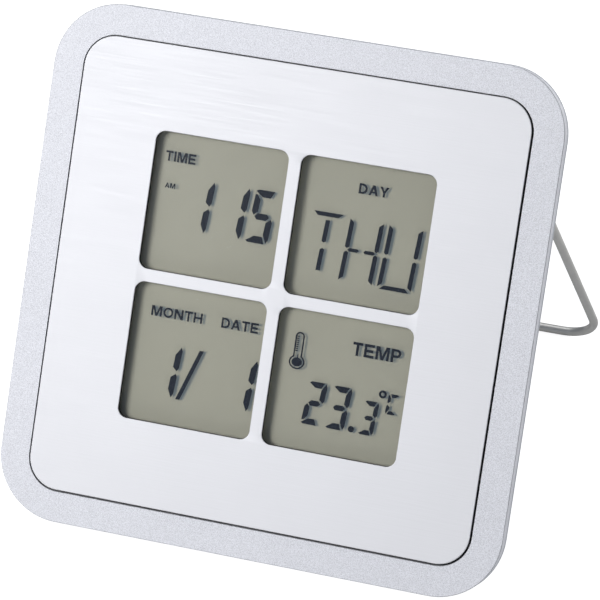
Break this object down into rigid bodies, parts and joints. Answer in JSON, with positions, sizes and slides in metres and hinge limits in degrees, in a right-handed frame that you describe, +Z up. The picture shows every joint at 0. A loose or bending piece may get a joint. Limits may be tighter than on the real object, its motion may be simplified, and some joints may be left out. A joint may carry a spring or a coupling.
{
  "type": "desk clock with calendar and thermometer",
  "caption": "Square digital desk clock with four display windows in an aluminium panel, silver frame and folding wire easel stand.",
  "frame": {"origin": "bottom centre of the bounding box, on the desk, with the stand open and the clock leaning back", "axes": "+X to the right seen from the front, +Y towards the back, +Z up from the desk; the face looks towards -Y and up"},
  "size_m": [0.1, 0.09, 0.0874],
  "materials": {
    "frame_paint": "fine textured silver-white paint on plastic",
    "panel_aluminium": "satin, brushed sideways, very fine",
    "tape": "black double-sided tape",
    "polariser": "clear grey film, satin",
    "lcd_glass": "clear thin glass",
    "reflector": "olive grey reflective film",
    "holder_plastic": "moulded white plastic",
    "zebra_rubber": "layered silicone rubber",
    "board": "green solder mask on glass-fibre board",
    "epoxy": "black epoxy drop",
    "tinned_metal": "bright tinned metal",
    "bead": "dark coated bead",
    "capacitor": "tan ceramic chip",
    "screw_steel": "zinc plated",
    "switch_plastic": "black moulded plastic",
    "button_plastic": "grey moulded plastic",
    "cell_steel": "nickel plated can",
    "case_plastic": "fine textured silver-grey plastic",
    "wire_steel": "satin nickel-plated wire"
  },
  "bodies": {
    "clock": {"front_frame": "frame_paint", "front_panel": "panel_aluminium", "panel_tape": "tape", "lcd_front_polariser": "polariser", "lcd_front_glass": "lcd_glass", "lcd_rear_glass": "lcd_glass", "lcd_rear_reflector": "reflector", "lcd_holder": "holder_plastic", "zebra_strip_upper": "zebra_rubber", "zebra_strip_lower": "zebra_rubber", "circuit_board": "board", "chip_cover": "epoxy", "quartz_crystal": "tinned_metal", "thermistor": "bead", "capacitor_1": "capacitor", "capacitor_2": "capacitor", "board_screw_1": "screw_steel", "board_screw_2": "screw_steel", "board_screw_3": "screw_steel", "board_screw_4": "screw_steel", "mode_switch": "switch_plastic", "set_switch": "switch_plastic", "unit_switch": "switch_plastic", "battery": "cell_steel", "negative_contact": "tinned_metal", "positive_contact": "tinned_metal", "rear_case": "case_plastic", "case_screw_1": "screw_steel", "case_screw_2": "screw_steel", "case_screw_3": "screw_steel", "case_screw_4": "screw_steel"},
    "stand": {"wire_stand": "wire_steel"},
    "door": {"battery_door": "case_plastic"},
    "mode_key": {"mode_button": "button_plastic", "mode_plunger": "holder_plastic"},
    "set_key": {"set_button": "button_plastic", "set_plunger": "holder_plastic"},
    "unit_key": {"unit_button": "button_plastic", "unit_plunger": "holder_plastic"}
  },
  "joints": [
    {"name": "stand_fold", "type": "hinge", "parent": "clock", "child": "stand", "pos_m": [0, 0.00656, 0.06872], "axis": [1, 0, 0], "range_deg": [-60, 0]},
    {"name": "door_slide", "type": "slide", "parent": "clock", "child": "door", "axis": [0, -0.513, -0.8584], "range_m": [0, 0.032]},
    {"name": "mode_press", "type": "slide", "parent": "clock", "child": "mode_key", "axis": [0, -0.8584, 0.513], "range_m": [0, 0.0005], "stiffness_N_per_m": 20},
    {"name": "set_press", "type": "slide", "parent": "clock", "child": "set_key", "axis": [0, -0.8584, 0.513], "range_m": [0, 0.0005], "stiffness_N_per_m": 20},
    {"name": "unit_press", "type": "slide", "parent": "clock", "child": "unit_key", "axis": [0, -0.8584, 0.513], "range_m": [0, 0.0005], "stiffness_N_per_m": 20}
  ]
}
